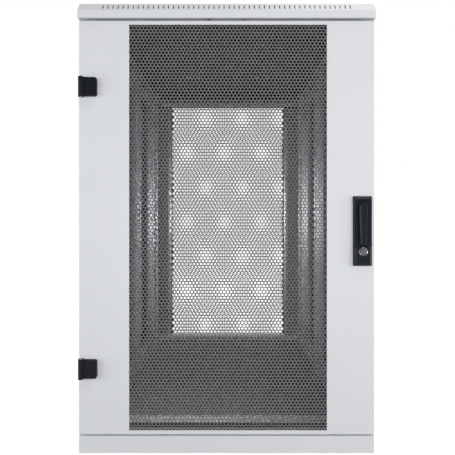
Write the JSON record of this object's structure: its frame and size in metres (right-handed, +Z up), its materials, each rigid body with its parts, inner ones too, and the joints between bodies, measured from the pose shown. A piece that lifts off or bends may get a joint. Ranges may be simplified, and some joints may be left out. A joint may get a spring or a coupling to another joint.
{
  "type": "network server rack cabinet",
  "caption": "Free-standing network rack cabinet with perforated front and rear doors, a swing handle, lift-off side panels, 19-inch rails and a vented roof.",
  "frame": {"origin": "on the floor, in the middle of the cabinet's plan", "axes": "+Z up, front door towards -Y, +X to the right of someone who faces the front door"},
  "size_m": [0.605, 0.8234, 0.9186],
  "materials": {
    "grey_paint": "light grey fine-texture powder coat, satin",
    "mesh_paint": "dark grey powder coat on perforated sheet, satin",
    "zinc": "zinc-plated steel, satin",
    "black_metal": "black fine-texture powder coat on die-cast zinc",
    "black_plastic": "black moulded glass-filled nylon, satin",
    "chrome": "polished nickel-chrome plate",
    "black_rubber": "matt black rubber",
    "lead_sheath": "dark soft cable sheath"
  },
  "bodies": {
    "root": {"base_front_rail": "grey_paint", "base_rear_rail": "grey_paint", "base_left_rail": "grey_paint", "base_right_rail": "grey_paint", "post_front_left": "grey_paint", "post_front_right": "grey_paint", "post_rear_left": "grey_paint", "post_rear_right": "grey_paint", "top_front_rail": "grey_paint", "top_rear_rail": "grey_paint", "top_left_rail": "grey_paint", "top_right_rail": "grey_paint", "floor_panel": "grey_paint", "floor_cable_cover": "grey_paint", "roof": "grey_paint", "fan_plate_left": "grey_paint", "fan_plate_right": "grey_paint", "rack_rail_front_left": "zinc", "rack_rail_front_right": "zinc", "rack_rail_rear_left": "zinc", "rack_rail_rear_right": "zinc", "depth_rail_lower_left": "zinc", "depth_rail_lower_right": "zinc", "depth_rail_upper_left": "zinc", "depth_rail_upper_right": "zinc", "front_hinge_pin_lower": "zinc", "front_hinge_pin_upper": "zinc", "rear_hinge_pin_lower": "zinc", "rear_hinge_pin_upper": "zinc", "front_hinge_bracket_lower": "black_metal", "front_hinge_bracket_upper": "black_metal", "rear_hinge_bracket_lower": "black_metal", "rear_hinge_bracket_upper": "black_metal", "earth_lead": "lead_sheath"},
    "front_door": {"front_door_frame": "grey_paint", "front_perforated_sheet": "mesh_paint", "front_hinge_leaf_lower": "black_metal", "front_hinge_leaf_upper": "black_metal", "front_handle_base": "black_plastic", "front_lock_barrel": "chrome"},
    "front_handle_spindle": {"front_spindle": "zinc", "front_lever_pin": "zinc"},
    "front_lever": {"front_lever": "black_plastic"},
    "front_lock_plug": {"front_lock_plug": "chrome"},
    "rear_door": {"rear_door_frame": "grey_paint", "rear_perforated_sheet": "mesh_paint", "rear_hinge_leaf_lower": "black_metal", "rear_hinge_leaf_upper": "black_metal", "rear_lock_barrel": "chrome"},
    "rear_lock_plug": {"rear_lock_plug": "chrome"},
    "side_panel_left": {"side_panel_left": "grey_paint"},
    "side_panel_right": {"side_panel_right": "grey_paint"},
    "left_latch_front": {"left_latch_front": "black_plastic"},
    "left_latch_rear": {"left_latch_rear": "black_plastic"},
    "right_latch_front": {"right_latch_front": "black_plastic"},
    "right_latch_rear": {"right_latch_rear": "black_plastic"},
    "foot_front_left": {"foot_front_left": "zinc"},
    "foot_front_right": {"foot_front_right": "zinc"},
    "foot_rear_left": {"foot_rear_left": "zinc"},
    "foot_rear_right": {"foot_rear_right": "zinc"}
  },
  "joints": [
    {"name": "front_door_swing", "type": "hinge", "parent": "root", "child": "front_door", "pos_m": [-0.2943, -0.406, 0], "axis": [0, 0, -1], "range_deg": [0, 180]},
    {"name": "front_handle_turn", "type": "hinge", "parent": "front_door", "child": "front_handle_spindle", "pos_m": [0.2755, -0.4, 0.5025], "axis": [0, 1, 0], "range_deg": [0, 90]},
    {"name": "front_lever_lift", "type": "hinge", "parent": "front_handle_spindle", "child": "front_lever", "pos_m": [0.2755, -0.4083, 0.5075], "axis": [-1, 0, 0], "range_deg": [0, 30]},
    {"name": "front_lock_turn", "type": "hinge", "parent": "front_door", "child": "front_lock_plug", "pos_m": [0.2755, -0.4, 0.41055], "axis": [0, 1, 0], "range_deg": [0, 90]},
    {"name": "rear_door_swing", "type": "hinge", "parent": "root", "child": "rear_door", "pos_m": [0.2943, 0.406, 0], "axis": [0, 0, -1], "range_deg": [0, 180]},
    {"name": "rear_lock_turn", "type": "hinge", "parent": "rear_door", "child": "rear_lock_plug", "pos_m": [-0.2755, 0.4, 0.4517], "axis": [0, -1, 0], "range_deg": [0, 90]},
    {"name": "left_panel_tilt", "type": "hinge", "parent": "root", "child": "side_panel_left", "pos_m": [-0.3, 0, 0.0382], "axis": [0, -1, 0], "range_deg": [0, 20]},
    {"name": "right_panel_tilt", "type": "hinge", "parent": "root", "child": "side_panel_right", "pos_m": [0.3, 0, 0.0382], "axis": [0, 1, 0], "range_deg": [0, 20]},
    {"name": "left_latch_front_turn", "type": "hinge", "parent": "side_panel_left", "child": "left_latch_front", "pos_m": [-0.3, -0.25, 0.8491], "axis": [1, 0, 0], "range_deg": [0, 90]},
    {"name": "left_latch_rear_turn", "type": "hinge", "parent": "side_panel_left", "child": "left_latch_rear", "pos_m": [-0.3, 0.25, 0.8491], "axis": [1, 0, 0], "range_deg": [0, 90]},
    {"name": "right_latch_front_turn", "type": "hinge", "parent": "side_panel_right", "child": "right_latch_front", "pos_m": [0.3, -0.25, 0.8491], "axis": [1, 0, 0], "range_deg": [0, 90]},
    {"name": "right_latch_rear_turn", "type": "hinge", "parent": "side_panel_right", "child": "right_latch_rear", "pos_m": [0.3, 0.25, 0.8491], "axis": [1, 0, 0], "range_deg": [0, 90]},
    {"name": "foot_front_left_travel", "type": "slide", "parent": "root", "child": "foot_front_left", "axis": [0, 0, -1], "range_m": [0, 0.025]},
    {"name": "foot_front_right_travel", "type": "slide", "parent": "root", "child": "foot_front_right", "axis": [0, 0, -1], "range_m": [0, 0.025]},
    {"name": "foot_rear_left_travel", "type": "slide", "parent": "root", "child": "foot_rear_left", "axis": [0, 0, -1], "range_m": [0, 0.025]},
    {"name": "foot_rear_right_travel", "type": "slide", "parent": "root", "child": "foot_rear_right", "axis": [0, 0, -1], "range_m": [0, 0.025]}
  ]
}
